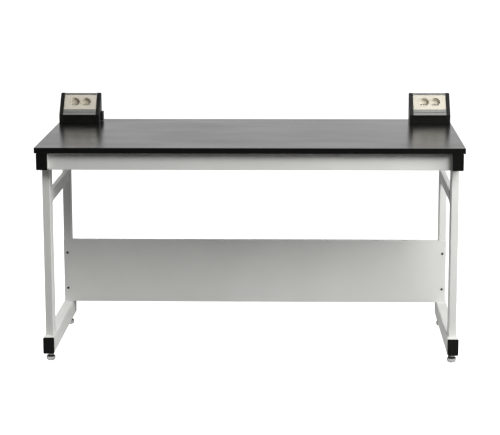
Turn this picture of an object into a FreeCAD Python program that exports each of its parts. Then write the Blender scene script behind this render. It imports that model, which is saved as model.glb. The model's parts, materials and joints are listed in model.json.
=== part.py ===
import FreeCAD, Part
import os
import re
import Sketcher
from FreeCAD import Placement, Rotation, Vector

# Laboratory bench: a worktop on two welded end frames, with an outlet box on each rear
# corner. Millimetres, +Z up, the front faces -Y, and the origin is on the floor under the
# middle of the worktop.

# Driving sizes. Each is a cell of the sheet; nothing else in this file holds a length.
SIZES = {
    "bench_length": 1500.0,
    "bench_depth": 750.0,
    "bench_height": 795.0,
    "worktop_thickness": 20.0,
    "worktop_edge_round": 1.5,
    # end frames: side rails are rectangular tube on edge, closed by plastic caps
    "rail_width": 40.0,
    "rail_height": 60.0,
    "rail_wall": 2.0,
    "rail_corner": 4.0,
    "rail_side_inset": 6.0,
    "top_rail_end_inset": 3.0,
    "base_rail_front_inset": 60.0,
    "base_rail_rear_inset": 55.0,
    "floor_clearance": 37.0,
    "leg_width": 28.0,
    "leg_depth": 64.0,
    "leg_wall": 1.5,
    "leg_corner": 3.0,
    "front_leg_inset": 95.0,
    "rear_leg_inset": 72.0,
    "mid_rail_width": 20.0,
    "mid_rail_height": 40.0,
    "mid_rail_wall": 1.5,
    "mid_rail_corner": 2.5,
    "mid_rail_drop": 99.0,
    "cap_flange": 5.0,
    "cap_round": 2.0,
    "cap_plug_length": 14.0,
    "cap_plug_wall": 2.0,
    "cap_fit": 0.2,
    # aprons between the top side rails, with a bolting plate welded on each end
    "apron_thickness": 25.0,
    "apron_height": 63.0,
    "apron_wall": 1.5,
    "apron_corner": 2.5,
    "apron_inset": 34.0,
    "plate_thickness": 4.0,
    "plate_depth": 60.0,
    "frame_bolt_radius": 4.0,
    "frame_bolt_length": 16.0,
    "frame_bolt_head": 5.3,
    "frame_bolt_flats": 13.0,
    "frame_bolt_spacing": 32.0,
    "frame_nut_height": 6.5,
    "bolt_clearance": 0.2,
    # clips that hold the worktop down
    "clip_width": 30.0,
    "clip_leg": 24.0,
    "clip_thickness": 2.0,
    "clip_spacing": 450.0,
    "clip_screw_radius": 2.0,
    "clip_screw_length": 14.0,
    "clip_screw_head_radius": 4.0,
    "clip_screw_head": 2.4,
    # modesty panel on the front faces of the rear legs
    "panel_sheet": 1.2,
    "panel_height": 246.0,
    "panel_gap": 1.0,
    "panel_flange": 15.0,
    "panel_lip": 8.0,
    "panel_bend": 1.0,
    "panel_end_gap": 2.0,
    "panel_screw_margin": 53.0,
    "panel_screw_radius": 2.4,
    "panel_screw_length": 12.0,
    "panel_screw_head_radius": 4.6,
    "panel_screw_head": 2.6,
    # levelling feet
    "foot_inset": 54.0,
    "pad_radius": 16.5,
    "pad_height": 16.0,
    "pad_dome": 10.0,
    "pad_floor": 5.0,
    "disc_radius": 14.0,
    "disc_height": 3.5,
    "stud_radius": 5.0,
    "thread_clearance": 0.05,
    "running_gap": 0.3,
    "collar_flats": 12.0,
    "foot_nut_flats": 17.0,
    "lock_nut_height": 6.0,
    "weld_nut_height": 10.0,
    "foot_travel": 15.0,
    # outlet boxes: wedge-shaped, with the sockets in the sloping face
    "outlet_width": 155.0,
    "outlet_side_inset": 2.5,
    "outlet_back_margin": 27.0,
    "outlet_depth": 86.0,
    "outlet_lip": 27.0,
    "outlet_top": 105.5,
    "outlet_slope": 46.0,
    "seat_depth": 1.0,
    "seat_gap": 0.2,
    "housing_wall": 3.0,
    "cheek_thickness": 15.0,
    "cheek_rim": 4.5,
    "cheek_front_rim": 2.0,
    "cheek_top_rim": 1.8,
    "cheek_round": 5.0,
    "cheek_edge_round": 3.0,
    "face_gap": 0.3,
    "nose_height": 30.0,
    "nose_thickness": 2.0,
    "nose_bead": 4.2,
    "nose_bead_height": 13.5,
    "nose_round": 1.8,
    "fascia_height": 69.0,
    "fascia_thickness": 3.0,
    "fascia_round": 0.8,
    "socket_rise": 66.0,
    "socket_spacing": 42.5,
    "well_radius": 19.0,
    "well_wall": 1.2,
    "well_depth": 17.5,
    "well_floor": 3.0,
    "well_proud": 0.8,
    "well_fit": 0.15,
    "pin_spacing": 19.0,
    "pin_hole_radius": 2.6,
    "earth_clip_width": 7.0,
    "earth_clip_thickness": 0.9,
    "earth_clip_height": 13.0,
    "sleeve_wall": 0.8,
    "sleeve_length": 8.0,
    "socket_screw_radius": 1.6,
    "socket_screw_head_radius": 3.4,
    "socket_screw_head": 1.4,
    "entry_width": 40.0,
    "entry_depth": 9.0,
    "entry_height": 34.5,
    "entry_lift": 2.5,
    "entry_setback": 36.0,
    "entry_round": 2.0,
    "entry_bore_radius": 3.2,
    "entry_bore_depth": 16.0,
    "entry_bore_rise": 16.5,
}

# Values that follow from the driving sizes, in the same words.
DERIVED = {
    "worktop_base": "bench_height - worktop_thickness",
    "rail_x": "bench_length / 2 - rail_side_inset - rail_width / 2",
    "rail_inner_x": "rail_x - rail_width / 2",
    "top_rail_z": "worktop_base - rail_height / 2",
    "top_rail_base": "worktop_base - rail_height",
    "top_rail_end": "bench_depth / 2 - top_rail_end_inset",
    "top_tube_length": "2 * (top_rail_end - cap_flange)",
    "base_rail_z": "floor_clearance + rail_height / 2",
    "base_rail_top": "floor_clearance + rail_height",
    "base_rail_front": "-bench_depth / 2 + base_rail_front_inset",
    "base_rail_rear": "bench_depth / 2 - base_rail_rear_inset",
    "base_tube_length": "base_rail_rear - base_rail_front - 2 * cap_flange",
    "leg_length": "top_rail_base - base_rail_top",
    "front_leg_y": "-bench_depth / 2 + front_leg_inset + leg_depth / 2",
    "rear_leg_y": "bench_depth / 2 - rear_leg_inset - leg_depth / 2",
    "leg_inner_x": "rail_x - leg_width / 2",
    "rear_leg_face": "rear_leg_y - leg_depth / 2",
    "mid_rail_x": "leg_inner_x + mid_rail_width / 2",
    "mid_rail_z": "top_rail_base - mid_rail_drop - mid_rail_height / 2",
    "mid_rail_front": "front_leg_y + leg_depth / 2",
    "apron_face": "bench_depth / 2 - apron_inset",
    "apron_y": "apron_face - apron_thickness / 2",
    "apron_z": "worktop_base - apron_height / 2",
    "apron_length": "2 * rail_inner_x",
    "frame_bolt_y": "apron_face - (apron_thickness + plate_depth) / 2",
    "clip_y": "apron_face - apron_thickness",
    "clip_screw_inset": "(clip_leg + clip_thickness) / 2",
    "panel_base": "base_rail_top + panel_gap",
    "panel_width": "2 * (rail_x + leg_width / 2)",
    "panel_inner_width": "2 * (leg_inner_x - panel_end_gap)",
    "panel_screw_low": "panel_base + panel_screw_margin",
    "panel_screw_high": "panel_base + panel_height - panel_screw_margin",
    "thread_bore": "stud_radius + thread_clearance",
    "disc_top": "pad_height + disc_height",
    "collar_base": "disc_top + running_gap",
    "collar_height": "floor_clearance - lock_nut_height - collar_base - running_gap",
    "weld_nut_base": "floor_clearance + rail_wall",
    "stud_base": "pad_floor + running_gap",
    "stud_length": "weld_nut_base + weld_nut_height + foot_travel - stud_base",
    "foot_front_y": "base_rail_front + foot_inset",
    "foot_rear_y": "base_rail_rear - foot_inset",
    "outlet_front": "bench_depth / 2 - outlet_back_margin - outlet_depth",
    "outlet_base": "bench_height - seat_depth",
    "outlet_x": "bench_length / 2 - outlet_side_inset - outlet_width / 2",
    "outlet_body_width": "outlet_width - 2 * cheek_thickness",
    "outlet_run": "(outlet_top - outlet_lip) / tan(outlet_slope)",
    "cavity_lip": "outlet_lip - housing_wall * (1 - sin(outlet_slope)) / cos(outlet_slope)",
    "cavity_run": "outlet_run + housing_wall * tan(outlet_slope / 2)",
    "cheek_lift": "cheek_rim / cos(outlet_slope)",
    "cheek_top": "outlet_top + cheek_top_rim",
    "face_width": "outlet_body_width - 2 * face_gap",
    "fascia_start": "nose_height + face_gap",
    "well_outer": "well_radius + well_wall",
    "well_bore": "well_outer + well_fit",
    "well_level": "fascia_thickness + well_proud",
    "well_floor_level": "well_level - well_depth",
    "well_base_level": "well_floor_level - well_floor",
    "socket_screw_sink": "socket_screw_head + well_fit",
}

doc = FreeCAD.newDocument("lab_bench")
sheet = doc.addObject("Spreadsheet::Sheet", "Sizes")
for row, (alias, number) in enumerate(SIZES.items(), start=1):
    sheet.set(f"A{row}", alias)
    sheet.set(f"B{row}", str(number))
    sheet.setAlias(f"B{row}", alias)
doc.recompute()

ALONG_X = Rotation(Vector(0, 1, 0), 90)
AGAINST_X = Rotation(Vector(0, 1, 0), -90)
ALONG_Y = Rotation(Vector(1, 0, 0), -90)
AGAINST_Y = Rotation(Vector(1, 0, 0), 90)
UPRIGHT = Rotation()
QUARTER_TURN = Rotation(Vector(0, 0, 1), 90)
HALF_TURN = Rotation(Vector(0, 0, 1), 180)

parts = []


# ---------------------------------------------------------------- expressions

def expand(text):
    """The words of SIZES and DERIVED as an expression that FreeCAD can evaluate."""
    def replace(match):
        word = match.group(0)
        if word in DERIVED:
            return "(" + expand(DERIVED[word]) + ")"
        return "Sizes." + word if word in SIZES else word
    return re.sub(r"[A-Za-z_]+", replace, text)


def value(text):
    """What an expression in those words comes to, in millimetres or degrees."""
    result = sheet.evalExpression(expand(text))
    return float(getattr(result, "Value", result))


def bind(target, prop, text):
    target.setExpression(prop, expand(text))


def place(target, x="0", y="0", z="0", turn=UPRIGHT):
    """Turn an object and bind its position."""
    target.Placement = Placement(Vector(value(x), value(y), value(z)), turn)
    for axis, text in (("x", x), ("y", y), ("z", z)):
        bind(target, "Placement.Base." + axis, text)


def place_on_slope(target, x, rise, level):
    """Lay an object on an outlet box's sloping seat.

    x is across, rise is the distance up the slope, and level is the height above the seat.
    The object's own X runs across, Y up the slope and Z straight out of it.
    """
    across = Rotation(Vector(1, 0, 0), value("outlet_slope"))
    y = f"outlet_front + ({rise}) * cos(outlet_slope) - ({level}) * sin(outlet_slope)"
    z = f"outlet_base + outlet_lip + ({rise}) * sin(outlet_slope) + ({level}) * cos(outlet_slope)"
    place(target, x, y, z, across)
    bind(target, "Placement.Rotation.Angle", "outlet_slope")


# ---------------------------------------------------------------- sketches

def new_sketch(body, role, lift=None):
    """A sketch on one of the body's own planes, lifted off it if asked."""
    sketch = body.newObject("Sketcher::SketchObject", body.Name + "_sketch")
    plane = next(item for item in body.Origin.OriginFeatures if item.Role == role)
    sketch.AttachmentSupport = [(plane, "")]
    sketch.MapMode = "FlatFace"
    if lift:
        sketch.AttachmentOffset = Placement(Vector(0, 0, value(lift)), UPRIGHT)
        bind(sketch, "AttachmentOffset.Base.z", lift)
    return sketch


def constrain(sketch, kind, text, *where):
    index = sketch.addConstraint(Sketcher.Constraint(kind, *where, value(text)))
    bind(sketch, f"Constraints[{index}]", text)


def locate(sketch, curve, point, x, y):
    """Fix a point of a sketch curve at bound coordinates."""
    if x == "0":
        sketch.addConstraint(Sketcher.Constraint("PointOnObject", curve, point, -2))
    else:
        constrain(sketch, "DistanceX", x, -1, 1, curve, point)
    if y == "0":
        sketch.addConstraint(Sketcher.Constraint("PointOnObject", curve, point, -1))
    else:
        constrain(sketch, "DistanceY", y, -1, 1, curve, point)


def circle(sketch, radius, x="0", y="0"):
    centre = Vector(value(x), value(y), 0)
    index = sketch.addGeometry(Part.Circle(centre, Vector(0, 0, 1), value(radius)))
    locate(sketch, index, 3, x, y)
    constrain(sketch, "Radius", radius, index)


def polygon(sketch, points):
    """A closed outline through points given as pairs of expressions."""
    corners = [Vector(value(x), value(y), 0) for x, y in points]
    count = len(points)
    lines = [sketch.addGeometry(Part.LineSegment(corners[i], corners[(i + 1) % count]))
             for i in range(count)]
    for i, line in enumerate(lines):
        following = lines[(i + 1) % count]
        sketch.addConstraint(Sketcher.Constraint("Coincident", line, 2, following, 1))
        locate(sketch, line, 1, *points[i])


def rectangle(sketch, x_low, y_low, x_high, y_high):
    polygon(sketch, [(x_low, y_low), (x_high, y_low), (x_high, y_high), (x_low, y_high)])


def rounded_rectangle(sketch, width, height, corner):
    """A rectangle about the origin whose corners are arcs."""
    half_w, half_h, r = value(width) / 2, value(height) / 2, value(corner)
    up = Vector(0, 0, 1)
    lines, arcs = [], []
    turns = [(1, -1, -90), (1, 1, 0), (-1, 1, 90), (-1, -1, 180)]
    starts = [(-half_w + r, -half_h), (half_w, -half_h + r),
              (half_w - r, half_h), (-half_w, half_h - r)]
    ends = [(half_w - r, -half_h), (half_w, half_h - r),
            (-half_w + r, half_h), (-half_w, -half_h + r)]
    for start, end in zip(starts, ends):
        lines.append(sketch.addGeometry(Part.LineSegment(Vector(*start, 0), Vector(*end, 0))))
    for side_x, side_y, angle in turns:
        centre = Vector(side_x * (half_w - r), side_y * (half_h - r), 0)
        first, last = [FreeCAD.Units.Quantity(a, FreeCAD.Units.Angle).getValueAs("rad").Value
                       for a in (angle, angle + 90)]
        arcs.append(sketch.addGeometry(Part.ArcOfCircle(Part.Circle(centre, up, r), first, last)))
    for i in range(4):
        sketch.addConstraint(Sketcher.Constraint("Tangent", lines[i], 2, arcs[i], 1))
        sketch.addConstraint(Sketcher.Constraint("Tangent", arcs[i], 2, lines[(i + 1) % 4], 1))
        sketch.addConstraint(Sketcher.Constraint(("Horizontal", "Vertical")[i % 2], lines[i]))
    for i in range(3):
        sketch.addConstraint(Sketcher.Constraint("Equal", arcs[i], arcs[i + 1]))
    constrain(sketch, "Radius", corner, arcs[0])
    constrain(sketch, "DistanceX", f"({width}) / 2", -1, 1, lines[1], 1)
    constrain(sketch, "DistanceX", f"({width}) / 2", lines[3], 1, -1, 1)
    constrain(sketch, "DistanceY", f"({height}) / 2", -1, 1, lines[2], 1)
    constrain(sketch, "DistanceY", f"({height}) / 2", lines[0], 1, -1, 1)


# ---------------------------------------------------------------- features

def new_body(label):
    body = doc.addObject("PartDesign::Body", label)
    body.Label = label
    body.AllowCompound = True
    parts.append(body)
    return body


def pad(body, sketch, length, backwards=False, both=False):
    feature = body.newObject("PartDesign::Pad", body.Name + "_pad")
    feature.Profile = sketch
    bind(feature, "Length", length)
    feature.Reversed = backwards
    if both:
        feature.SideType = "Symmetric"
    return feature


def pocket(body, sketch, length=None, backwards=False):
    """Cut a sketch out of the body, right through if no length is given."""
    doc.recompute()
    before = body.Tip.Shape.Volume
    feature = body.newObject("PartDesign::Pocket", body.Name + "_pocket")
    feature.Profile = sketch
    feature.Reversed = backwards
    if length:
        bind(feature, "Length", length)
    else:
        feature.Type = "ThroughAll"
    doc.recompute()
    if not feature.Shape.Volume < before:
        raise RuntimeError(f"{feature.Name} in {body.Label} cuts nothing")
    return feature


def round_edges(body, radius, chosen):
    """Fillet the edges of the body's last feature for which chosen(edge) is true."""
    doc.recompute()
    base = body.Tip
    names = [f"Edge{i}" for i, edge in enumerate(base.Shape.Edges, start=1) if chosen(edge)]
    if not names:
        raise RuntimeError(f"no edges to round on {body.Label}")
    feature = body.newObject("PartDesign::Fillet", body.Name + "_fillet")
    feature.Base = (base, names)
    bind(feature, "Radius", radius)
    return feature


def along(edge, axis):
    """Whether an edge is straight and runs along the X, Y or Z axis (0, 1 or 2)."""
    if not isinstance(edge.Curve, (Part.Line, Part.LineSegment)):
        return False
    return abs(abs(edge.tangentAt(edge.FirstParameter)[axis]) - 1) < 1e-6


def at_level(edge, axis, level):
    """Whether both ends of an edge lie at one coordinate."""
    box = edge.BoundBox
    low, high = ((box.XMin, box.XMax), (box.YMin, box.YMax), (box.ZMin, box.ZMax))[axis]
    return abs(low - level) < 1e-4 and abs(high - level) < 1e-4


def tube(label, width, height, wall, corner, length):
    """A rectangular tube along its own Z."""
    body = new_body(label)
    sketch = new_sketch(body, "XY_Plane")
    rounded_rectangle(sketch, width, height, corner)
    rounded_rectangle(sketch, f"{width} - 2 * {wall}", f"{height} - 2 * {wall}",
                      f"{corner} - {wall} / 2")
    pad(body, sketch, length)
    return body


def hex_prism(name, flats, height):
    prism = doc.addObject("Part::Prism", name)
    prism.Polygon = 6
    bind(prism, "Circumradius", f"{flats} / sqrt(3)")
    bind(prism, "Height", height)
    return prism


def cylinder(name, radius, height):
    rod = doc.addObject("Part::Cylinder", name)
    bind(rod, "Radius", radius)
    bind(rod, "Height", height)
    return rod


def drilled(name, radius, height, blank):
    """A blank that stands on z = 0, with a bore up its axis."""
    result = doc.addObject("Part::Cut", name)
    result.Base = blank
    result.Tool = cylinder(name + "_bore", radius, height)
    return result


def fuse(label, pieces):
    whole = doc.addObject("Part::MultiFuse", label)
    whole.Shapes = pieces
    return whole


def screw(name, head_radius, head, radius, length):
    """A pan-head screw: its head stands on z = 0 and its shank runs down -Z."""
    top = cylinder(name + "_head", head_radius, head)
    shank = cylinder(name + "_shank", radius, length)
    place(shank, z=f"-({length})")
    return fuse(name, [top, shank])


def copies(label, source, places):
    """One node that holds a placed copy of a source shape for each entry of places."""
    links = []
    for x, y, z, turn in places:
        link = doc.addObject("App::Link", label + "_copy")
        link.LinkedObject = source
        place(link, x, y, z, turn)
        links.append(link)
    group = doc.addObject("Part::Compound", label)
    group.Label = label
    group.Links = links
    parts.append(group)
    return group


# ---------------------------------------------------------------- worktop and frame

SIDES = {"left": "-", "right": ""}


def worktop():
    """The board, with a shallow seat for each outlet box and holes for the clips' screws."""
    body = new_body("worktop")
    sketch = new_sketch(body, "XY_Plane")
    rectangle(sketch, "-bench_length / 2", "-bench_depth / 2",
              "bench_length / 2", "bench_depth / 2")
    pad(body, sketch, "worktop_thickness")
    round_edges(body, "worktop_edge_round", lambda edge: True)
    pilots = new_sketch(body, "XY_Plane")
    for y in ("-clip_y + clip_screw_inset", "clip_y - clip_screw_inset"):
        for x in ("-clip_spacing", "0", "clip_spacing"):
            circle(pilots, "clip_screw_radius + bolt_clearance", x, y)
    pocket(body, pilots, "clip_screw_length", backwards=True)
    seats = new_sketch(body, "XY_Plane", "worktop_thickness")
    reach = "outlet_width / 2 + seat_gap"
    for sign in SIDES.values():
        rectangle(seats, f"{sign}(outlet_x) - ({reach})",
                  "outlet_front - cheek_front_rim - seat_gap",
                  f"{sign}(outlet_x) + {reach}", "outlet_front + outlet_depth + seat_gap")
    pocket(body, seats, "seat_depth")
    place(body, z="worktop_base")


def top_rail(side):
    sign = SIDES[side]
    body = tube(f"top_rail_{side}", "rail_width", "rail_height", "rail_wall", "rail_corner",
                "top_tube_length")
    holes = new_sketch(body, "YZ_Plane")
    for end in ("-frame_bolt_y", "frame_bolt_y"):
        for step in ("- frame_bolt_spacing / 2", "+ frame_bolt_spacing / 2"):
            circle(holes, "frame_bolt_radius + bolt_clearance",
                   f"top_rail_z - apron_z {step}", f"{end} + top_tube_length / 2")
    pocket(body, holes, backwards=side == "left")
    place(body, f"{sign}(rail_x)", "-top_tube_length / 2", "top_rail_z", ALONG_Y)


def base_rail(side):
    sign = SIDES[side]
    body = tube(f"base_rail_{side}", "rail_width", "rail_height", "rail_wall", "rail_corner",
                "base_tube_length")
    start = "base_rail_front + cap_flange"
    holes = new_sketch(body, "XZ_Plane")
    for y in ("foot_front_y", "foot_rear_y"):
        circle(holes, "thread_bore + bolt_clearance", "0", f"{y} - ({start})")
    pocket(body, holes)
    place(body, f"{sign}(rail_x)", start, "base_rail_z", ALONG_Y)


def leg(end, side):
    sign = SIDES[side]
    body = tube(f"{end}_leg_{side}", "leg_width", "leg_depth", "leg_wall", "leg_corner",
                "leg_length")
    if end == "rear":
        holes = new_sketch(body, "XZ_Plane")
        for level in ("panel_screw_low", "panel_screw_high"):
            circle(holes, "panel_screw_radius + bolt_clearance", "0",
                   f"{level} - base_rail_top")
        pocket(body, holes, backwards=True)
    place(body, f"{sign}(rail_x)", f"{end}_leg_y", "base_rail_top")


def mid_rail(side):
    body = tube(f"mid_rail_{side}", "mid_rail_width", "mid_rail_height", "mid_rail_wall",
                "mid_rail_corner", "rear_leg_face - mid_rail_front")
    place(body, f"{SIDES[side]}(mid_rail_x)", "mid_rail_front", "mid_rail_z", ALONG_Y)


def apron(end):
    """A tube along X with a plate across each of its ends, drilled for two bolts."""
    sign = {"front": "-", "rear": ""}[end]
    body = tube(f"{end}_apron", "apron_height", "apron_thickness", "apron_wall",
                "apron_corner", "apron_length")
    outer, inner = f"{sign}(apron_thickness / 2)", f"{sign}(apron_thickness / 2 - plate_depth)"
    bolt = f"{sign}(frame_bolt_y - apron_y)"
    for lift, backwards in (("0", False), ("apron_length", True)):
        sketch = new_sketch(body, "XY_Plane", lift if backwards else None)
        rectangle(sketch, "-apron_height / 2", outer, "apron_height / 2", inner)
        for step in ("-frame_bolt_spacing / 2", "frame_bolt_spacing / 2"):
            circle(sketch, "frame_bolt_radius + bolt_clearance", step, bolt)
        pad(body, sketch, "plate_thickness", backwards)
    place(body, "-rail_inner_x", f"{sign}(apron_y)", "apron_z", ALONG_X)


def frame_bolts():
    """Bolts through the aprons' end plates into nuts inside the top rails."""
    head = hex_prism("bolt_head", "frame_bolt_flats", "frame_bolt_head")
    shank = cylinder("bolt_shank", "frame_bolt_radius", "frame_bolt_length")
    place(shank, z="-frame_bolt_length")
    bolt = fuse("frame_bolt", [head, shank])
    nut = drilled("frame_nut", "frame_bolt_radius + thread_clearance", "frame_nut_height",
                  hex_prism("frame_nut_blank", "frame_bolt_flats", "frame_nut_height"))
    bolt_places, nut_places = [], []
    for sign, inward, outward in (("-", ALONG_X, AGAINST_X), ("", AGAINST_X, ALONG_X)):
        for y in ("-frame_bolt_y", "frame_bolt_y"):
            for step in ("- frame_bolt_spacing / 2", "+ frame_bolt_spacing / 2"):
                z = f"apron_z {step}"
                bolt_places.append((f"{sign}(rail_inner_x - plate_thickness)", y, z, inward))
                nut_places.append((f"{sign}(rail_inner_x + rail_wall)", y, z, outward))
    copies("frame_bolts", bolt, bolt_places)
    copies("frame_nuts", nut, nut_places)


def end_caps():
    """A flange that closes the tube, with a hollow plug that grips inside it."""
    rails = {"top": ("top_rail_end - cap_flange", "-top_rail_end + cap_flange", "top_rail_z"),
             "base": ("base_rail_rear - cap_flange", "base_rail_front + cap_flange",
                      "base_rail_z")}
    inside = "rail_wall + cap_fit"
    for level, (rear_y, front_y, z) in rails.items():
        for end, y, turn in (("front", front_y, AGAINST_Y), ("rear", rear_y, ALONG_Y)):
            for side, sign in SIDES.items():
                body = new_body(f"{level}_cap_{end}_{side}")
                flange = new_sketch(body, "XY_Plane")
                rounded_rectangle(flange, "rail_width", "rail_height", "rail_corner")
                pad(body, flange, "cap_flange")
                plug = new_sketch(body, "XY_Plane")
                for skin in ("", " + cap_plug_wall"):
                    rounded_rectangle(plug, f"rail_width - 2 * ({inside}{skin})",
                                      f"rail_height - 2 * ({inside}{skin})",
                                      "rail_corner - rail_wall / 2")
                pad(body, plug, "cap_plug_length", backwards=True)
                face = value("cap_flange")
                round_edges(body, "cap_round", lambda edge: at_level(edge, 2, face))
                place(body, f"{sign}(rail_x)", y, z, turn)


def worktop_clips():
    """Angle clips welded to the aprons, each with one screw up into the worktop."""
    source = doc.addObject("PartDesign::Body", "clip")
    outline = new_sketch(source, "YZ_Plane")
    polygon(outline, [("0", "0"), ("clip_leg", "0"), ("clip_leg", "-clip_thickness"),
                      ("clip_thickness", "-clip_thickness"),
                      ("clip_thickness", "-clip_leg"), ("0", "-clip_leg")])
    pad(source, outline, "clip_width", both=True)
    hole = new_sketch(source, "XY_Plane")
    circle(hole, "clip_screw_radius + bolt_clearance", "0", "clip_screw_inset")
    pocket(source, hole)
    fixing = screw("clip_screw", "clip_screw_head_radius", "clip_screw_head",
                   "clip_screw_radius", "clip_screw_length")
    clip_places, screw_places = [], []
    for x in ("-clip_spacing", "0", "clip_spacing"):
        for sign, turn in (("-", UPRIGHT), ("", HALF_TURN)):
            clip_places.append((x, f"{sign}(clip_y)", "worktop_base", turn))
            screw_places.append((x, f"{sign}(clip_y - clip_screw_inset)",
                                 "worktop_base - clip_thickness",
                                 Rotation(Vector(1, 0, 0), 180)))
    copies("worktop_clips", source, clip_places)
    copies("clip_screws", fixing, screw_places)


def modesty_panel():
    """A sheet across the rear legs, with a flange and a lip along its top and bottom."""
    body = new_body("modesty_panel")
    sheet_outline = new_sketch(body, "XZ_Plane")
    rectangle(sheet_outline, "-panel_width / 2", "0", "panel_width / 2", "panel_height")
    for x in ("-rail_x", "rail_x"):
        for level in ("panel_screw_low", "panel_screw_high"):
            circle(sheet_outline, "panel_screw_radius + bolt_clearance", x,
                   f"{level} - panel_base")
    pad(body, sheet_outline, "panel_sheet")
    flanges = new_sketch(body, "YZ_Plane")
    for edge, inward in (("panel_height", "-"), ("0", "+")):
        start, back = "-panel_sheet", "panel_flange"
        skin = f"{edge} {inward} panel_sheet"
        tip = f"{edge} {inward} panel_lip"
        polygon(flanges, [(start, edge), (back, edge), (back, tip),
                          (f"{back} - panel_sheet", tip),
                          (f"{back} - panel_sheet", skin), (start, skin)])
    pad(body, flanges, "panel_inner_width", both=True)
    front = -value("panel_sheet")
    round_edges(body, "panel_bend", lambda edge: along(edge, 0) and at_level(edge, 1, front))
    place(body, y="rear_leg_face", z="panel_base")

    fixing = screw("panel_screw", "panel_screw_head_radius", "panel_screw_head",
                   "panel_screw_radius", "panel_screw_length")
    places = [(f"{sign}(rail_x)", "rear_leg_face - panel_sheet", level, AGAINST_Y)
              for sign in SIDES.values()
              for level in ("panel_screw_low", "panel_screw_high")]
    copies("panel_screws", fixing, places)


# ---------------------------------------------------------------- levelling feet

def foot_places():
    for end in ("front", "rear"):
        for side, sign in SIDES.items():
            yield f"{end}_{side}", f"{sign}(rail_x)", f"foot_{end}_y"


def foot(name, x, y):
    """A domed pad with a disc on it, and a stud that turns in both."""
    base = new_body(f"foot_pad_{name}")
    dome = new_sketch(base, "XY_Plane")
    circle(dome, "pad_radius")
    pad(base, dome, "pad_height")
    round_edges(base, "pad_dome", lambda edge: at_level(edge, 2, 0))
    seat = new_sketch(base, "XY_Plane", "pad_height")
    circle(seat, "thread_bore")
    pocket(base, seat, "pad_height - pad_floor")
    place(base, x, y)

    disc = new_body(f"foot_disc_{name}")
    ring = new_sketch(disc, "XY_Plane")
    circle(ring, "disc_radius")
    circle(ring, "thread_bore")
    pad(disc, ring, "disc_height")
    place(disc, x, y, "pad_height")

    rod = cylinder(f"foot_rod_{name}", "stud_radius", "stud_length")
    place(rod, z="stud_base")
    collar = hex_prism(f"foot_collar_{name}", "collar_flats", "collar_height")
    place(collar, z="collar_base")
    stud = fuse(f"foot_stud_{name}", [rod, collar])
    place(stud, x, y)
    parts.append(stud)


def foot_nuts():
    """Hexagonal nuts with plain bores for the studs."""
    lock, weld = [drilled(name, "thread_bore", height,
                          hex_prism(name + "_blank", "foot_nut_flats", height))
                  for name, height in (("lock_nut", "lock_nut_height"),
                                       ("weld_nut", "weld_nut_height"))]
    spots = [(x, y) for name, x, y in foot_places()]
    copies("foot_lock_nuts", lock,
           [(x, y, "floor_clearance - lock_nut_height", UPRIGHT) for x, y in spots])
    copies("foot_weld_nuts", weld, [(x, y, "weld_nut_base", UPRIGHT) for x, y in spots])


# ---------------------------------------------------------------- outlet boxes

def outlet_profile(sketch):
    """The wedge seen from the side: upright front, sloping face, flat top, upright back."""
    polygon(sketch, [("0", "0"), ("0", "outlet_lip"), ("outlet_run", "outlet_top"),
                     ("outlet_depth", "outlet_top"), ("outlet_depth", "0")])


def cavity_profile(sketch):
    """The same wedge, one housing wall inside."""
    near, far, roof = "housing_wall", "outlet_depth - housing_wall", "outlet_top - housing_wall"
    polygon(sketch, [(near, near), (near, "cavity_lip"), ("cavity_run", roof), (far, roof),
                     (far, near)])


def outlet_housing(side, x):
    """A hollow extrusion, bored through its sloping wall for the two socket wells."""
    body = new_body(f"outlet_housing_{side}")
    outline = new_sketch(body, "YZ_Plane")
    outlet_profile(outline)
    cavity_profile(outline)
    pad(body, outline, "outlet_body_width", both=True)
    bores = new_sketch(body, "XY_Plane")
    bores.AttachmentOffset = Placement(Vector(0, 0, value("outlet_lip")),
                                       Rotation(Vector(1, 0, 0), value("outlet_slope")))
    bind(bores, "AttachmentOffset.Base.z", "outlet_lip")
    bind(bores, "AttachmentOffset.Rotation.Angle", "outlet_slope")
    for across in ("-socket_spacing / 2", "socket_spacing / 2"):
        circle(bores, "well_bore", across, "socket_rise")
    pocket(body, bores, "2 * housing_wall")
    place(body, x, "outlet_front", "outlet_base")


def outlet_cheeks(side, x):
    """End mouldings, proud of the housing on its front, slope and top, hollow inside."""
    front_z = "outlet_lip + cheek_lift - cheek_front_rim * tan(outlet_slope)"
    brow_y = "(cheek_top - outlet_lip - cheek_lift) / tan(outlet_slope)"
    for end, outward in (("left", False), ("right", True)):
        body = new_body(f"outlet_cheek_{end}_{side}")
        outline = new_sketch(body, "YZ_Plane")
        polygon(outline, [("-cheek_front_rim", "0"), ("-cheek_front_rim", front_z),
                          (brow_y, "cheek_top"), ("outlet_depth", "cheek_top"),
                          ("outlet_depth", "0")])
        pad(body, outline, "cheek_thickness", backwards=not outward)
        low, outside = value("outlet_lip") / 2, value("cheek_thickness") * (1 if outward else -1)
        round_edges(body, "cheek_round",
                    lambda edge: along(edge, 0) and edge.BoundBox.ZMin > low)
        round_edges(body, "cheek_edge_round",
                    lambda edge: at_level(edge, 0, outside) and edge.BoundBox.ZMax > 1)
        hollow = new_sketch(body, "YZ_Plane")
        cavity_profile(hollow)
        pocket(body, hollow, "cheek_thickness - housing_wall", backwards=outward)
        sign = "+" if outward else "-"
        place(body, f"{x} {sign} outlet_body_width / 2", "outlet_front", "outlet_base")


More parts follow.
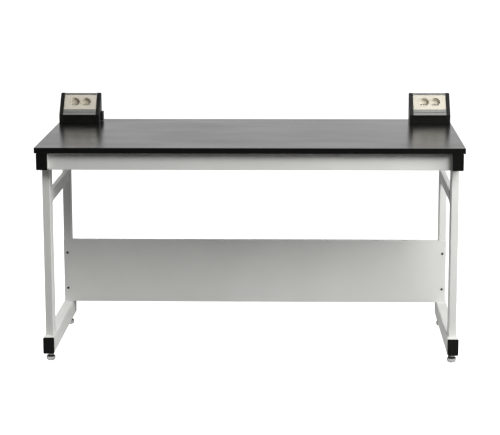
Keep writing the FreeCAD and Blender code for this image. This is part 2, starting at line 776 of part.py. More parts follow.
def outlet_nose(side, x):
    """The metal strip below the fascia: a flat web with a rounded bead along its foot."""
    body = new_body(f"outlet_nose_{side}")
    outline = new_sketch(body, "YZ_Plane")
    polygon(outline, [("0", "0"), ("nose_height", "0"), ("nose_height", "nose_thickness"),
                      ("nose_bead_height", "nose_thickness"),
                      ("nose_bead_height", "nose_bead"), ("0", "nose_bead")])
    pad(body, outline, "face_width", both=True)
    top = value("nose_bead")
    round_edges(body, "nose_round", lambda edge: along(edge, 0) and at_level(edge, 2, top))
    place_on_slope(body, x, "0", "0")


def outlet_fascia(side, x):
    body = new_body(f"outlet_fascia_{side}")
    outline = new_sketch(body, "XY_Plane")
    rectangle(outline, "-face_width / 2", "0", "face_width / 2", "fascia_height")
    for across in ("-socket_spacing / 2", "socket_spacing / 2"):
        circle(outline, "well_bore", across, "socket_rise - fascia_start")
    pad(body, outline, "fascia_thickness")
    face = value("fascia_thickness")
    round_edges(body, "fascia_round",
                lambda edge: at_level(edge, 2, face) and (along(edge, 0) or along(edge, 1)))
    place_on_slope(body, x, "fascia_start", "0")


def socket_well(side, place_name, x):
    """A round cup with two pin holes, a sunk screw hole and a slot for each earth clip."""
    body = new_body(f"socket_well_{place_name}_{side}")
    outline = new_sketch(body, "XY_Plane")
    circle(outline, "well_outer")
    pad(body, outline, "well_depth + well_floor", backwards=True)
    hollow = new_sketch(body, "XY_Plane")
    circle(hollow, "well_radius")
    pocket(body, hollow, "well_depth")
    sink = new_sketch(body, "XY_Plane", "-well_depth")
    circle(sink, "socket_screw_head_radius + well_fit")
    pocket(body, sink, "socket_screw_sink")
    holes = new_sketch(body, "XY_Plane")
    circle(holes, "socket_screw_radius + thread_clearance")
    for across in ("-pin_spacing / 2", "pin_spacing / 2"):
        circle(holes, "pin_hole_radius", across, "0")
    pocket(body, holes)
    slots = new_sketch(body, "XY_Plane", "earth_clip_height - well_depth")
    half = "earth_clip_width / 2 + well_fit"
    for sign in ("-", ""):
        rectangle(slots, f"-({half})", f"{sign}(well_radius - well_wall)",
                  half, f"{sign}(well_outer + well_wall)")
    pocket(body, slots, "earth_clip_height")
    place_on_slope(body, x, "socket_rise", "well_level")


def compound(label, members):
    group = doc.addObject("Part::Compound", label)
    group.Label = label
    group.Links = members
    parts.append(group)


def socket_contacts(side, centres):
    """Contact sleeves behind the pin holes, and earth clips in the slots."""
    metal = []
    for centre in centres:
        for across in ("-", "+"):
            tube_blank = cylinder("sleeve_tube", "pin_hole_radius + sleeve_wall",
                                  "sleeve_length")
            sleeve = drilled("sleeve", "pin_hole_radius", "sleeve_length", tube_blank)
            place_on_slope(sleeve, f"{centre} {across} pin_spacing / 2", "socket_rise",
                           "well_base_level - sleeve_length")
            metal.append(sleeve)
        for rise in ("+ well_radius", "- well_radius - earth_clip_thickness"):
            clip = doc.addObject("Part::Box", "earth_clip")
            bind(clip, "Length", "earth_clip_width")
            bind(clip, "Width", "earth_clip_thickness")
            bind(clip, "Height", "earth_clip_height")
            place_on_slope(clip, f"{centre} - earth_clip_width / 2", f"socket_rise {rise}",
                           "well_floor_level")
            metal.append(clip)
    compound(f"socket_contacts_{side}", metal)


def socket_screws(centres):
    """The screw sunk in the middle of each well's floor."""
    fixings = []
    for centre in centres:
        fixing = screw("socket_screw", "socket_screw_head_radius", "socket_screw_head",
                       "socket_screw_radius",
                       "well_floor + sleeve_length - socket_screw_sink")
        place_on_slope(fixing, centre, "socket_rise", "well_floor_level - socket_screw_sink")
        fixings.append(fixing)
    compound("socket_screws", fixings)


def cable_entry(side, x, y, turn):
    """A block on the outside of the box, with a bore for the lead in one end."""
    body = new_body(f"outlet_entry_{side}")
    outline = new_sketch(body, "XY_Plane")
    rectangle(outline, "0", "0", "entry_width", "-entry_depth")
    pad(body, outline, "entry_height")
    near = -value("entry_depth")
    round_edges(body, "entry_round",
                lambda edge: edge.BoundBox.YMin < near + 1e-4 and not at_level(edge, 2, 0)
                and edge.BoundBox.ZMax > 1)
    bore = new_sketch(body, "YZ_Plane", "entry_width")
    circle(bore, "entry_bore_radius", "-entry_depth / 2", "entry_bore_rise")
    pocket(body, bore, "entry_bore_depth")
    place(body, x, y, "bench_height + entry_lift", turn)


def outlet_boxes():
    every_centre = []
    for side, sign in SIDES.items():
        x = f"{sign}(outlet_x)"
        outlet_housing(side, x)
        outlet_cheeks(side, x)
        outlet_nose(side, x)
        outlet_fascia(side, x)
        centres = [f"{x} - socket_spacing / 2", f"{x} + socket_spacing / 2"]
        for place_name, centre in zip(("a", "b"), centres):
            socket_well(side, place_name, centre)
        socket_contacts(side, centres)
        every_centre += centres
    socket_screws(every_centre)
    cable_entry("left", "-(outlet_x) + outlet_width / 2", "outlet_front + entry_setback",
                QUARTER_TURN)
    cable_entry("right", "outlet_x + entry_width / 2", "outlet_front + outlet_depth",
                HALF_TURN)


# ---------------------------------------------------------------- assembly

worktop()
for side in SIDES:
    top_rail(side)
    base_rail(side)
    leg("front", side)
    leg("rear", side)
    mid_rail(side)
apron("front")
apron("rear")
frame_bolts()
end_caps()
worktop_clips()
modesty_panel()
for name, x, y in foot_places():
    foot(name, x, y)
foot_nuts()
outlet_boxes()
doc.recompute()

faults = [f"{item.Label}: {item.State}" for item in doc.Objects
          if "Invalid" in item.State or "Error" in item.State]
for part in parts:
    if part.Shape.isNull() or not part.Shape.isValid() or not part.Shape.Solids:
        faults.append(f"{part.Label}: no valid solid")
if faults:
    raise RuntimeError("; ".join(faults))

os.makedirs("parts", exist_ok=True)
for part in parts:
    part.Shape.exportStep(f"parts/{part.Label}.step")
print(len(parts), "parts written")
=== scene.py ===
"""Looks for the laboratory bench: materials, weld beads, screws, studs and outlet box trim."""

import json
import math

import bmesh
import bpy
from mathutils import Matrix, Vector


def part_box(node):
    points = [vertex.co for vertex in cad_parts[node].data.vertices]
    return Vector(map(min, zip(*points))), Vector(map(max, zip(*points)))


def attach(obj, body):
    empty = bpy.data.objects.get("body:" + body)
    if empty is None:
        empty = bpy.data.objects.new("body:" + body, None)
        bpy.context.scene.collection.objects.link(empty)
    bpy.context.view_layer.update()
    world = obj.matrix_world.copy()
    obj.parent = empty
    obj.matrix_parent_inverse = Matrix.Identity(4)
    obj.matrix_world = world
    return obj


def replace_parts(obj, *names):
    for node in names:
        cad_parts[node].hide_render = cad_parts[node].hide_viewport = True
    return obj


MM = 0.001
X, Y, Z = Vector((1, 0, 0)), Vector((0, 1, 0)), Vector((0, 0, 1))

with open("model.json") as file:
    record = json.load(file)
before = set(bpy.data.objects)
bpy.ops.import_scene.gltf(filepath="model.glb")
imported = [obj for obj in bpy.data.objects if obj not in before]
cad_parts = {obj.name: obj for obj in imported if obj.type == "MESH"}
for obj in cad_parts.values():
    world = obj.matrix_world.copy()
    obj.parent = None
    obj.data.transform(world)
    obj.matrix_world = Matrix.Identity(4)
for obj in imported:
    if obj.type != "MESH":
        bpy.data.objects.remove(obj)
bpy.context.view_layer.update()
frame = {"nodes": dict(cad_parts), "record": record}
nodes = frame["nodes"]
slot_of = {entry["node"]: entry["material_slot"] for entry in frame["record"]["subparts"]}
scene = bpy.context.scene


# ---------------------------------------------------------------- materials

class Shader:
    """A node material on one Principled shader, built by naming what feeds what."""

    def __init__(self, name, color, roughness, metallic=0.0, **values):
        self.material = bpy.data.materials.new(name)
        self.material.use_nodes = True
        self.tree = self.material.node_tree
        self.principled = self.tree.nodes["Principled BSDF"]
        self.coordinates = self.add("ShaderNodeTexCoord").outputs
        self.set("Base Color", (*color, 1.0))
        self.set("Roughness", roughness)
        self.set("Metallic", metallic)
        for socket, value in values.items():
            self.set(socket.replace("_", " "), value)

    def add(self, kind, **values):
        node = self.tree.nodes.new(kind)
        for name, value in values.items():
            setattr(node, name, value)
        return node

    def set(self, socket, value):
        self.principled.inputs[socket].default_value = value

    def link(self, output, target):
        self.tree.links.new(output, target)

    def feed(self, socket, output):
        """Drive one of the Principled shader's sockets."""
        self.link(output, self.principled.inputs[socket])

    def noise(self, scale, detail=3.0, stretch=(1, 1, 1)):
        """Noise in object space, its cells stretched along an axis where stretch is small."""
        mapping = self.add("ShaderNodeMapping")
        mapping.inputs["Scale"].default_value = stretch
        self.link(self.coordinates["Object"], mapping.inputs["Vector"])
        node = self.add("ShaderNodeTexNoise")
        node.inputs["Scale"].default_value = scale
        node.inputs["Detail"].default_value = detail
        self.link(mapping.outputs["Vector"], node.inputs["Vector"])
        return node.outputs["Fac"]

    def ramp(self, factor, low, high, stops=(0.3, 0.7)):
        """From one colour or grey to another while the factor goes from stop to stop."""
        node = self.add("ShaderNodeValToRGB")
        for element, position, shade in zip(node.color_ramp.elements, stops, (low, high)):
            element.position = position
            element.color = (*shade, 1) if isinstance(shade, tuple) else (shade,) * 3 + (1,)
        self.link(factor, node.inputs["Fac"])
        return node.outputs["Color"]

    def mottle(self, factor, low, high):
        """Base colour that wanders between two colours."""
        self.feed("Base Color", self.ramp(factor, low, high))

    def polish(self, factor, low, high):
        """Roughness that wanders between two values."""
        self.feed("Roughness", self.ramp(factor, low, high))

    def bump(self, factor, distance):
        """Bump of a height in millimetres."""
        node = self.add("ShaderNodeBump")
        node.inputs["Distance"].default_value = distance * MM
        self.link(factor, node.inputs["Height"])
        self.feed("Normal", node.outputs["Normal"])

    def upright(self):
        """1 on upright faces, 0 on level ones."""
        parts = self.add("ShaderNodeSeparateXYZ")
        self.link(self.coordinates["Normal"], parts.inputs["Vector"])
        slant = self.add("ShaderNodeMath", operation="ABSOLUTE")
        self.link(parts.outputs["Z"], slant.inputs[0])
        node = self.add("ShaderNodeMath", operation="LESS_THAN")
        self.link(slant.outputs["Value"], node.inputs[0])
        node.inputs[1].default_value = 0.5
        return node.outputs["Value"]


def board():
    """Black phenolic board: a smooth sheet with the faintest texture and handling marks, and
    painted shade on its upright cut edges.
    """
    shader = Shader("worktop_board", (0.006, 0.006, 0.0055), 0.22)
    face_color = shader.ramp(shader.noise(5.0, 4.0), (0.0045, 0.0045, 0.004),
                             (0.008, 0.008, 0.0072))
    shader.polish(shader.noise(2.6, 5.0, (1, 2.2, 1)), 0.19, 0.25)
    shader.bump(shader.noise(900.0, 2.0), 0.006)
    # painted shade: the upright faces, the board's cut edges, get a base colour darkened to 0.6
    # of the faces'; they are also duller, with a lower specular level
    shaded_cut_edge = shader.upright()
    color = shader.add("ShaderNodeVectorMath", operation="SCALE")
    shader.link(face_color, color.inputs[0])
    shader.link(shader.ramp(shaded_cut_edge, 1.0, 0.6, stops=(0, 1)), color.inputs["Scale"])
    shader.feed("Base Color", color.outputs["Vector"])
    shader.feed("Specular IOR Level", shader.ramp(shaded_cut_edge, 0.5, 0.2, stops=(0, 1)))
    return shader.material


def paint():
    """Light grey powder coat with its orange peel and a little handling dirt."""
    shader = Shader("frame_paint", (0.665, 0.665, 0.64), 0.42)
    shader.mottle(shader.noise(7.0, 5.0), (0.65, 0.65, 0.625), (0.682, 0.682, 0.658))
    shader.polish(shader.noise(30.0, 3.0), 0.38, 0.5)
    shader.bump(shader.noise(420.0, 3.0), 0.05)
    return shader.material


def moulded(name, color, roughness, grain=0.04, variation=0.15, **values):
    """Moulded plastic with a fine spark-eroded grain."""
    shader = Shader(name, color, roughness, **values)
    lighter = tuple(c * (1 + variation) for c in color)
    darker = tuple(c * (1 - variation) for c in color)
    shader.mottle(shader.noise(40.0, 4.0), darker, lighter)
    shader.polish(shader.noise(60.0, 3.0), roughness - 0.05, roughness + 0.07)
    shader.bump(shader.noise(1500.0, 2.0), grain)
    return shader.material


def metal(name, color, roughness, stretch=(1, 1, 1), scale=300.0, grain=0.01, **values):
    """Bare or plated metal whose grain runs along the axis where stretch is small."""
    shader = Shader(name, color, roughness, metallic=1.0, **values)
    grain_noise = shader.noise(scale, 4.0, stretch)
    darker = tuple(c * 0.86 for c in color)
    shader.mottle(shader.noise(25.0, 3.0), darker, color)
    shader.polish(grain_noise, roughness * 0.8, roughness * 1.25)
    shader.bump(grain_noise, grain)
    return shader.material


MATERIALS = {
    "worktop_board": board(),
    "frame_paint": paint(),
    "cap_plastic": moulded("cap_plastic", (0.003, 0.003, 0.0028), 0.45, Specular_IOR_Level=0.2),
    "zinc_plate": metal("zinc_plate", (0.62, 0.62, 0.59), 0.34, scale=120.0),
    "black_screw": moulded("black_screw", (0.014, 0.014, 0.014), 0.35, 0.01),
    "foot_chrome": metal("foot_chrome", (0.7, 0.7, 0.7), 0.12, scale=60.0, grain=0.001,
                         Specular_Tint=(0.2, 0.2, 0.2, 1.0)),
    "foot_rubber": moulded("foot_rubber", (0.012, 0.012, 0.012), 0.6, 0.06),
    "outlet_black": moulded("outlet_black", (0.007, 0.007, 0.0065), 0.34, 0.02),
    "nose_aluminium": metal("nose_aluminium", (0.725, 0.745, 0.71), 0.46, (0.03, 1, 1), 900.0),
    "socket_cream": moulded("socket_cream", (0.61, 0.575, 0.485), 0.33, 0.01, 0.02),
    "contact_brass": metal("contact_brass", (0.6, 0.55, 0.44), 0.4),
    "entry_black": moulded("entry_black", (0.01, 0.01, 0.01), 0.5),
}


def dress(obj, slot):
    """Give an object the material of a slot."""
    obj.data.materials.clear()
    obj.data.materials.append(MATERIALS[slot])


for name, obj in nodes.items():
    dress(obj, slot_of[name])


# ---------------------------------------------------------------- building pieces

def add_piece(name, data, slot, body="frame"):
    """A dressed piece that rides a body."""
    obj = bpy.data.objects.new(name, data)
    scene.collection.objects.link(obj)
    dress(obj, slot)
    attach(obj, body)
    return obj


def node_box(name):
    """Low and high corner of a node, in millimetres."""
    low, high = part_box(name)
    return Vector(low) / MM, Vector(high) / MM


def circle(radius, count=24):
    """Points round a circle, as x and y."""
    return [(radius * math.cos(math.tau * i / count), radius * math.sin(math.tau * i / count))
            for i in range(count)]


class Solid:
    """Closed bodies in one mesh, lofted through rings of equally many points."""

    def __init__(self):
        self.mesh = bmesh.new()

    def loft(self, rings, sharp=(), smooth=True):
        """Skin the rings, given in millimetres, and close both ends.

        The rings named in sharp keep an edge.
        """
        rows = [[self.mesh.verts.new(point * MM) for point in ring] for ring in rings]
        faces = [self.mesh.faces.new(row) for row in (rows[0], rows[-1])]
        for row, following in zip(rows, rows[1:]):
            for i in range(len(row)):
                j = (i + 1) % len(row)
                faces.append(self.mesh.faces.new((row[i], row[j], following[j], following[i])))
        for face in faces:
            face.smooth = smooth
        for index in sharp:
            row = rows[index]
            for i, vertex in enumerate(row):
                self.mesh.edges.get((vertex, row[(i + 1) % len(row)])).smooth = False

    def finish(self, name):
        bmesh.ops.recalc_face_normals(self.mesh, faces=self.mesh.faces)
        data = bpy.data.meshes.new(name)
        self.mesh.to_mesh(data)
        self.mesh.free()
        return data


# ---------------------------------------------------------------- weld beads

WELD_RADIUS = 1.6
WELD_INSET = 0.6          # the bead's middle lies this far inside the tube's end
RIPPLE_STEP = 3.0
RIPPLE_DEPTH = 0.16       # share of the radius
RIPPLE_TURN = 2.1         # radians to a step
LEG_CORNER = 3.0
RAIL_CORNER = 2.5


def rounded_loop(centre, along, across, width, height, corner, steps=5):
    """Points round a rounded rectangle of that width and height about a centre."""
    points = []
    for sx, sy, start in ((1, -1, -90), (1, 1, 0), (-1, 1, 90), (-1, -1, 180)):
        for i in range(steps + 1):
            angle = math.radians(start + 90 * i / steps)
            x = sx * (width / 2 - corner) + corner * math.cos(angle)
            y = sy * (height / 2 - corner) + corner * math.sin(angle)
            points.append(centre + along * x + across * y)
    return points


def weld_beads(name, loops):
    """Fillet weld beads along closed loops, with the ripple of a hand weld."""
    curve = bpy.data.curves.new(name, "CURVE")
    curve.dimensions = "3D"
    curve.bevel_depth = WELD_RADIUS * MM
    curve.bevel_resolution = 2
    for loop in loops:
        dense = []
        for a, b in zip(loop, loop[1:] + loop[:1]):
            pieces = max(1, round((b - a).length / RIPPLE_STEP))
            dense += [a.lerp(b, i / pieces) for i in range(pieces)]
        spline = curve.splines.new("POLY")
        spline.points.add(len(dense) - 1)
        spline.use_cyclic_u = True
        for i, (point, target) in enumerate(zip(dense, spline.points)):
            target.co = (*point * MM, 1)
            target.radius = 1.0 + RIPPLE_DEPTH * math.sin(i * RIPPLE_TURN)
    add_piece(name, curve, "frame_paint")


def frame_welds(side):
    """Beads round both ends of a side's legs and mid rail."""
    loops = []
    for end in ("front", "rear"):
        low, high = node_box(f"{end}_leg_{side}")
        middle = (low + high) / 2
        for z in (low.z + WELD_INSET, high.z - WELD_INSET):
            loops.append(rounded_loop(Vector((middle.x, middle.y, z)), X, Y,
                                      high.x - low.x, high.y - low.y, LEG_CORNER))
    low, high = node_box(f"mid_rail_{side}")
    middle = (low + high) / 2
    for y in (low.y + WELD_INSET, high.y - WELD_INSET):
        loops.append(rounded_loop(Vector((middle.x, y, middle.z)), X, Z,
                                  high.x - low.x, high.z - low.z, RAIL_CORNER))
    weld_beads(f"frame_welds_{side}", loops)


# ---------------------------------------------------------------- screws and studs

# a screw's head and recess, as shares of the head's radius or height
RECESS_ARM = 0.56
RECESS_BLADE = 0.17
RECESS_TAPER = 0.8
RECESS_FLOOR = 0.35
HEAD_RIM = 0.38
HEAD_RINGS = (0.0, 0.22, 0.45, 0.7, 0.9)      # angles up the dome, in radians
SHANK_TIP = 0.35                              # share of the shank's radius


def cross_head_screw(solid, seat, outward, radius, height, shank, length):
    """A domed screw with a cross recess: seat is where the head's flat side meets its shank."""
    across = outward.orthogonal().normalized()
    along = outward.cross(across)
    arm, blade = radius * RECESS_ARM, radius * RECESS_BLADE
    quarter = ((arm, 0), (arm, blade), ((arm + blade) / 2, blade),
               (blade, blade), (blade, (arm + blade) / 2), (blade, arm))
    cross = []
    for turn in range(4):
        for x, y in quarter:
            for _ in range(turn):
                x, y = -y, x
            cross.append((x, y))

    def crown(reach):
        dome = math.sqrt(max(0.0, 1 - (reach / radius) ** 2))
        return height * (HEAD_RIM + (1 - HEAD_RIM) * dome)

    def level(points, level_of):
        return [seat + across * x + along * y + outward * level_of(math.hypot(x, y))
                for x, y in points]

    rings = [level(circle(shank * SHANK_TIP), lambda _: -length),
             level(circle(shank), lambda _: -length + shank),
             level(circle(shank), lambda _: 0.0),
             level(circle(radius), lambda _: 0.0)]
    rings += [level(circle(radius * math.cos(angle)), crown) for angle in HEAD_RINGS]
    rings.append(level(cross, crown))
    rings.append(level([(x * RECESS_TAPER, y * RECESS_TAPER) for x, y in cross],
                       lambda _: height * RECESS_FLOOR))
    solid.loft(rings, sharp=(2, 3, 9, 10))


def screws(name, node, places, outward, **sizes):
    """Cross-recessed screws in place of a node's plain ones."""
    solid = Solid()
    for place in places:
        cross_head_screw(solid, Vector(place), outward.normalized(), **sizes)
    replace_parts(add_piece(name, solid.finish(name), slot_of[node]), node)


STUD_RADIUS = 5.0
STUD_CHAMFER = 0.8
STUD_TIP_CHAMFER = 0.9
THREAD_DEPTH = 0.6
THREAD_PITCH = 1.5
THREAD_POINTS = 24        # points round the stud
THREAD_LAYERS = 5         # rings to a pitch
THREAD_HIDDEN = 1.0       # length of its start inside the collar
COLLAR_LOW, COLLAR_HIGH = 19.8, 30.7
COLLAR_CORNER = 12.0 / math.sqrt(3)
COLLAR_EASE = 0.5


def threaded_stud(corner_name):
    """A foot's stud: plain in its pad, a hexagonal collar, and a thread above that."""
    low, high = node_box(f"foot_stud_{corner_name}")
    middle = (low + high) / 2

    def ring(z, radius, count=THREAD_POINTS):
        return [Vector((middle.x + x, middle.y + y, z)) for x, y in circle(radius, count)]

    def thread_ring(z):
        points = []
        for i, direction in enumerate(circle(1.0, THREAD_POINTS)):
            turn = (z / THREAD_PITCH - i / THREAD_POINTS) % 1.0
            radius = STUD_RADIUS - THREAD_DEPTH * (1.0 - abs(2.0 * turn - 1.0))
            x, y = direction
            points.append(Vector((middle.x + radius * x, middle.y + radius * y, z)))
        return points

    layer = THREAD_PITCH / THREAD_LAYERS
    thread_start = COLLAR_HIGH - THREAD_HIDDEN
    rings = [ring(low.z, STUD_RADIUS - STUD_CHAMFER),
             ring(low.z + STUD_CHAMFER, STUD_RADIUS),
             ring(thread_start, STUD_RADIUS)]
    z = thread_start + layer
    while z < high.z - STUD_CHAMFER:
        rings.append(thread_ring(z))
        z += layer
    rings.append(ring(high.z, STUD_RADIUS - STUD_TIP_CHAMFER))
    solid = Solid()
    solid.loft(rings, sharp=(0, 1, len(rings) - 1))
    solid.loft([ring(COLLAR_LOW, COLLAR_CORNER - COLLAR_EASE, 6),
                ring(COLLAR_LOW + COLLAR_EASE, COLLAR_CORNER, 6),
                ring(COLLAR_HIGH - COLLAR_EASE, COLLAR_CORNER, 6),
                ring(COLLAR_HIGH, COLLAR_CORNER - COLLAR_EASE, 6)], smooth=False)
    name = f"threaded_stud_{corner_name}"
    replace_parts(add_piece(name, solid.finish(name), "zinc_plate", f"stud_{corner_name}"),
                f"foot_stud_{corner_name}")


# ---------------------------------------------------------------- outlet box trim

SLOPE = math.radians(46)
SLOPE_FOOT = Vector((0, 261.96, 821.03))
UP_SLOPE = Vector((0, math.cos(SLOPE), math.sin(SLOPE)))
OFF_SLOPE = Vector((0, -math.sin(SLOPE), math.cos(SLOPE)))

# sections as distances up the slope and off it, in millimetres from the slope's foot
NOSE_EDGING = ((-0.3, 0.4), (-0.3, 3.6), (0.3, 4.35), (1.1, 4.6), (2.3, 4.6), (2.5, 4.1),
               (1.2, 3.0))
# a thin black strip that stands for the shade in a groove across the nose: painted shade
NOSE_GROOVE_SHADE = ((16.3, 1.9), (17.6, 1.9), (17.5, 2.2), (16.4, 2.2))
CREST = ((101.4, -0.1), (101.4, 0.8), (101.8, 1.1), (106.6, 1.1), (107.6, 0.6), (108.2, -0.1))

BASE_BEAD_Z = 801.5
BASE_BEAD_RADIUS = 0.9
BASE_BEAD_SINK = 0.1


def on_slope(section):
    return [SLOPE_FOOT + UP_SLOPE * along + OFF_SLOPE * off for along, off in section]


def half_round(centre_y, centre_z, radius, steps=8):
    """Section of a bead on a face that looks forward."""
    angles = [math.pi * i / steps for i in range(steps + 1)]
    return [Vector((0, centre_y - radius * math.sin(a), centre_z - radius * math.cos(a)))
            for a in angles]


def trim(name, slot, x_range, *sections):
    """Thin mouldings across a box, one for each section."""
    solid = Solid()
    for section in sections:
        solid.loft([[X * x + point for point in section] for x in x_range], sharp=(0, 1))
    add_piece(name, solid.finish(name), slot)


def outlet_trim(side):
    """A box's black nose edging and a thin black strip of painted shade for the groove across the
    nose, bright strip over the fascia, and base bead.
    """
    low, high = node_box(f"outlet_nose_{side}")
    trim(f"outlet_edging_and_groove_shade_{side}", "outlet_black", (low.x, high.x),
         on_slope(NOSE_EDGING), on_slope(NOSE_GROOVE_SHADE))
    trim(f"outlet_crest_{side}", "nose_aluminium", (low.x, high.x), on_slope(CREST))
    low, high = node_box(f"outlet_housing_{side}")
    trim(f"outlet_base_bead_{side}", "outlet_black", (low.x, high.x),
         half_round(low.y + BASE_BEAD_SINK, BASE_BEAD_Z, BASE_BEAD_RADIUS))


for side in ("left", "right"):
    frame_welds(side)

# each place is where a screw's head sits
screws("panel_screw_heads", "panel_screws",
       [(x, 237.8, z) for x in (-724, 724) for z in (151, 291)], -Y,
       radius=4.6, height=2.6, shank=2.4, length=12.0)
screws("socket_screw_heads", "socket_screws",
       [(x, 318.82, 857.88) for x in (-691.25, -648.75, 648.75, 691.25)], OFF_SLOPE,
       radius=3.4, height=1.4, shank=1.6, length=9.45)
screws("clip_screw_heads", "clip_screws",
       [(x, y, 773.0) for x in (-450, 0, 450) for y in (-303, 303)], -Z,
       radius=4.0, height=2.4, shank=2.0, length=14.0)

for corner_name in ("front_left", "front_right", "rear_left", "rear_right"):
    threaded_stud(corner_name)

for side in ("left", "right"):
    outlet_trim(side)


# ---------------------------------------------------------------- setting

class Graph:
    """Arithmetic nodes of one node tree, written as calls."""

    def __init__(self, tree):
        self.tree = tree

    def connect(self, value, socket):
        if isinstance(value, (int, float)):
            socket.default_value = value
        else:
            self.tree.links.new(value, socket)

    def math(self, operation, *values):
        node = self.tree.nodes.new("ShaderNodeMath")
        node.operation = operation
        for value, socket in zip(values, node.inputs):
            self.connect(value, socket)
        return node.outputs["Value"]

    def times(self, first, second):
        return self.math("MULTIPLY", first, second)

    def plus(self, first, second):
        return self.math("ADD", first, second)

    def remap(self, value, low, high, at_low, at_high):
        """A value that goes from at_low to at_high while the input goes from low to high."""
        node = self.tree.nodes.new("ShaderNodeMapRange")
        for name, number in (("From Min", low), ("From Max", high),
                             ("To Min", at_low), ("To Max", at_high)):
            node.inputs[name].default_value = number
        self.connect(value, node.inputs["Value"])
        return node.outputs["Result"]

    def coordinates(self, output):
        source = self.tree.nodes.new("ShaderNodeTexCoord")
        node = self.tree.nodes.new("ShaderNodeSeparateXYZ")
        self.tree.links.new(source.outputs[output], node.inputs["Vector"])
        return node.outputs

    def rays(self):
        return self.tree.nodes.new("ShaderNodeLightPath").outputs


LAMPS = (
    # name, place, aimed at, size, watts, and which rays it lights: dull, mirrored or both.
    # Few lamps show in mirrors, so that the worktop keeps a soft sheen from every side.
    ("key", (2.2, -3.6, 2.7), (0.2, 0.0, 0.5), 1.6, 68, "dull"),
    ("high", (1.6, -3.2, 2.9), (0.2, 0.0, 0.5), 1.4, 46, "dull"),
    ("sheen", (1.6, -3.2, 2.9), (0.2, 0.0, 0.5), 1.4, 22, "both"),
    ("near", (2.2, -1.4, 2.2), (0.2, 0.0, 0.5), 1.2, 41, "dull"),
    ("right", (3.0, -0.8, 1.2), (0.0, 0.0, 0.5), 1.6, 47, "dull"),
    ("left", (-3.2, 0.2, 1.2), (0.0, 0.0, 0.5), 1.6, 105, "dull"),
    ("overhead", (0.3, -0.4, 3.4), (0.2, 0.25, 0.85), 1.4, 6.3, "mirrored"),
)


def add_lamps():
    for name, place, target, size, watts, lit in LAMPS:
        lamp = bpy.data.lights.new(name, "AREA")
        lamp.shape = "SQUARE"
        lamp.size = size
        lamp.energy = watts
        obj = bpy.data.objects.new(name, lamp)
        obj.location = place
        obj.visible_glossy = lit != "dull"
        obj.visible_diffuse = lit != "mirrored"
        direction = Vector(target) - Vector(place)
        obj.rotation_euler = direction.to_track_quat("-Z", "Y").to_euler()
        scene.collection.objects.link(obj)


def add_surround():
    """A world that is white to the camera, and a mild fill that grows toward the back.

    In mirrors it is bright behind the bench, and dim overhead and where the camera stands.
    """
    world = bpy.data.worlds.new("surround")
    scene.world = world
    world.use_nodes = True
    tree = world.node_tree
    graph = Graph(tree)
    rays = graph.rays()
    across, toward_back, upward = graph.coordinates("Generated")
    mirror_level = graph.times(graph.remap(toward_back, -0.6, 0.0, 0.04, 1.0),
                               graph.remap(upward, 0.0, 0.75, 0.92, 0.3))
    mirror_level = graph.times(mirror_level, graph.remap(across, -0.2, 0.2, 0.96, 1.12))
    fill_level = graph.remap(toward_back, 0.0, 1.0, 0.03, 0.4)
    mirrored = graph.math("MAXIMUM", rays["Is Glossy Ray"], rays["Is Transmission Ray"])
    strength = graph.plus(rays["Is Camera Ray"],
                          graph.plus(graph.times(mirrored, mirror_level),
                                     graph.times(rays["Is Diffuse Ray"], fill_level)))
    background = tree.nodes["Background"]
    tree.links.new(strength, background.inputs["Strength"])
    background.inputs["Color"].default_value = (1, 1, 1, 1)


FLOOR_SIZE = 60
FLOOR_BOUNCE = 0.12       # grey that the floor shows to the surfaces that it lights
FLOOR_SEEN = 0.9          # grey that it shows to the camera
FLOOR_MIRRORED = 0.35     # how far it goes from the first to the second in mirrors


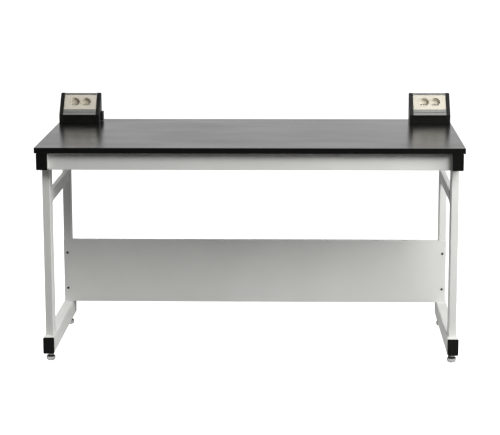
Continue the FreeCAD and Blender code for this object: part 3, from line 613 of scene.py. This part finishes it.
def floor_material():
    """Floor: white to the camera with the bench's soft shadow in it, darker in what it lights."""
    material = bpy.data.materials.new("floor_white")
    material.use_nodes = True
    tree = material.node_tree
    graph = Graph(tree)
    rays = graph.rays()
    principled = tree.nodes["Principled BSDF"]
    principled.inputs["Roughness"].default_value = 0.9
    principled.inputs["Specular IOR Level"].default_value = 0.0
    shade = tree.nodes.new("ShaderNodeMix")
    shade.data_type = "RGBA"
    shade.inputs["A"].default_value = (*(FLOOR_BOUNCE,) * 3, 1)
    shade.inputs["B"].default_value = (*(FLOOR_SEEN,) * 3, 1)
    seen_share = graph.math("MAXIMUM", rays["Is Camera Ray"],
                            graph.times(rays["Is Glossy Ray"], FLOOR_MIRRORED))
    tree.links.new(seen_share, shade.inputs["Factor"])
    tree.links.new(shade.outputs["Result"], principled.inputs["Base Color"])
    # the glow is full away from the bench, and lets the shadow show close to it
    across, toward_back, _ = graph.coordinates("Object")
    distance = graph.math("SQRT", graph.plus(graph.times(across, across),
                                             graph.times(toward_back, toward_back)))
    seen = graph.times(rays["Is Camera Ray"], graph.remap(distance, 0.8, 2.2, 0.86, 1.02))
    mirrored = graph.times(rays["Is Glossy Ray"],
                           graph.remap(toward_back, -1.4, -0.35, 0.02, 0.24))
    principled.inputs["Emission Color"].default_value = (1, 1, 1, 1)
    tree.links.new(graph.plus(seen, mirrored), principled.inputs["Emission Strength"])
    return material


def add_floor():
    bpy.ops.mesh.primitive_plane_add(size=FLOOR_SIZE, location=(0, 0, 0))
    floor = bpy.context.object
    floor.name = "floor"
    floor.data.materials.append(floor_material())


CAMERA_PLACE = Vector((0.18768, -6.37777, 1.71574))
CAMERA_YAW, CAMERA_PITCH, CAMERA_ROLL = (math.radians(a) for a in (-1.76482, 10.98127, -0.16919))
CAMERA_LENS = 126.148
CAMERA_SENSOR = 36


def add_camera():
    """The photograph's own viewpoint: a long lens, a little right of the middle."""
    forward = Vector((math.sin(CAMERA_YAW) * math.cos(CAMERA_PITCH),
                      math.cos(CAMERA_YAW) * math.cos(CAMERA_PITCH), -math.sin(CAMERA_PITCH)))
    level = Vector((math.cos(CAMERA_YAW), -math.sin(CAMERA_YAW), 0))
    upright = level.cross(forward)
    right = math.cos(CAMERA_ROLL) * level + math.sin(CAMERA_ROLL) * upright
    up = -math.sin(CAMERA_ROLL) * level + math.cos(CAMERA_ROLL) * upright
    data = bpy.data.cameras.new("camera")
    data.sensor_width = CAMERA_SENSOR
    data.lens = CAMERA_LENS
    data.clip_end = 100
    obj = bpy.data.objects.new("camera", data)
    turn = Matrix((right, up, -forward)).transposed()
    obj.matrix_world = Matrix.Translation(CAMERA_PLACE) @ turn.to_4x4()
    scene.collection.objects.link(obj)
    scene.camera = obj


add_floor()
add_lamps()
add_surround()
add_camera()
scene.view_settings.view_transform = "Standard"
